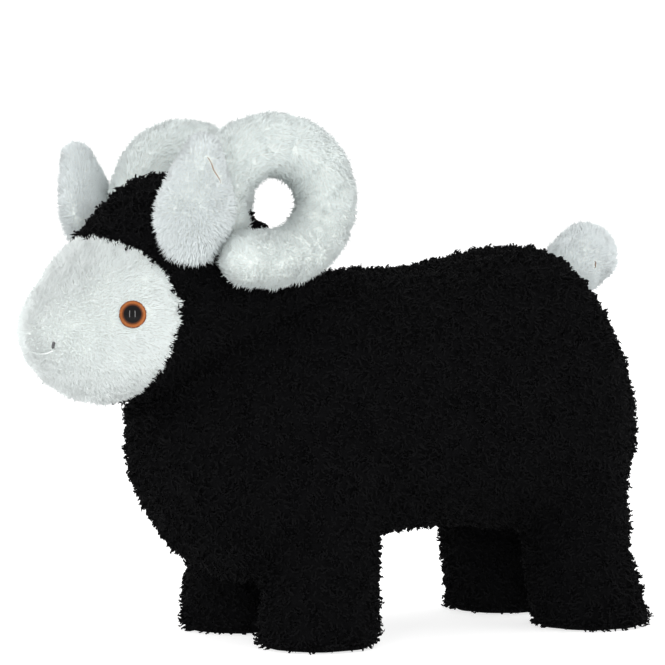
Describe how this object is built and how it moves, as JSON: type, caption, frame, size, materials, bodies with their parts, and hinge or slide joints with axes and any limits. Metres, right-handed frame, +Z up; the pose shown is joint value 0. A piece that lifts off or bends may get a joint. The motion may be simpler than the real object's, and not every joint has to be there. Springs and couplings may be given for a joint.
{
  "type": "plush ram",
  "caption": "Stuffed plush ram standing on four short legs, with curly black fleece, a white face, leaf ears, curled horns and a stub tail.",
  "frame": {"origin": "on the floor, under the middle of the bounding box", "axes": "+Z up, -X is the way the ram faces, -Y is its left side"},
  "size_m": [0.3148, 0.137, 0.2397],
  "materials": {
    "black_fleece": "curly pile",
    "sole_fleece": "pressed pile",
    "white_plush": "soft pile",
    "horn_plush": "soft pile",
    "ear_plush": "soft pile",
    "amber_eye": "polished",
    "black_eye": "polished",
    "lock_washer": "moulded",
    "grey_thread": "stitched",
    "dark_thread": "stitched",
    "stuffing": "loose fibre"
  },
  "bodies": {
    "ram": {"body_side_left": "black_fleece", "body_side_right": "black_fleece", "belly_gusset": "black_fleece", "body_filling": "stuffing", "sole_front_left": "sole_fleece", "sole_front_right": "sole_fleece", "sole_hind_left": "sole_fleece", "sole_hind_right": "sole_fleece", "hood_left": "black_fleece", "hood_right": "black_fleece", "face_left": "white_plush", "face_right": "white_plush", "head_filling": "stuffing", "mouth_thread": "grey_thread", "mouth_stitch_left": "dark_thread", "mouth_stitch_right": "dark_thread", "eye_iris_left": "amber_eye", "eye_pupil_left": "black_eye", "eye_washer_left": "lock_washer", "eye_iris_right": "amber_eye", "eye_pupil_right": "black_eye", "eye_washer_right": "lock_washer"},
    "left_horn": {"horn_left_outer_panel": "horn_plush", "horn_left_inner_panel": "horn_plush", "horn_left_filling": "stuffing"},
    "right_horn": {"horn_right_outer_panel": "horn_plush", "horn_right_inner_panel": "horn_plush", "horn_right_filling": "stuffing"},
    "left_ear": {"ear_left_front_panel": "ear_plush", "ear_left_back_panel": "ear_plush", "ear_left_padding": "stuffing"},
    "right_ear": {"ear_right_front_panel": "ear_plush", "ear_right_back_panel": "ear_plush", "ear_right_padding": "stuffing"},
    "tail": {"tail_panel_left": "white_plush", "tail_panel_right": "white_plush", "tail_filling": "stuffing"}
  },
  "joints": [
    {"name": "left_horn_flex", "type": "hinge", "parent": "ram", "child": "left_horn", "pos_m": [-0.08239, -0.0356, 0.18991], "axis": [1, 0, 0], "range_deg": [-8, 2], "stiffness_Nm_per_rad": 0.5},
    {"name": "right_horn_flex", "type": "hinge", "parent": "ram", "child": "right_horn", "pos_m": [-0.08239, 0.0356, 0.18991], "axis": [-1, 0, 0], "range_deg": [-8, 2], "stiffness_Nm_per_rad": 0.5},
    {"name": "left_ear_flex", "type": "hinge", "parent": "ram", "child": "left_ear", "pos_m": [-0.1015, -0.0455, 0.1815], "axis": [0.9336, -0.3584, 0], "range_deg": [-4, 30], "stiffness_Nm_per_rad": 0.05},
    {"name": "right_ear_flex", "type": "hinge", "parent": "ram", "child": "right_ear", "pos_m": [-0.1015, 0.0455, 0.1815], "axis": [-0.9336, -0.3584, 0], "range_deg": [-4, 30], "stiffness_Nm_per_rad": 0.05},
    {"name": "tail_flex", "type": "hinge", "parent": "ram", "child": "tail", "pos_m": [0.13, 0, 0.168], "axis": [0, 1, 0], "range_deg": [-20, 20], "stiffness_Nm_per_rad": 0.05}
  ]
}
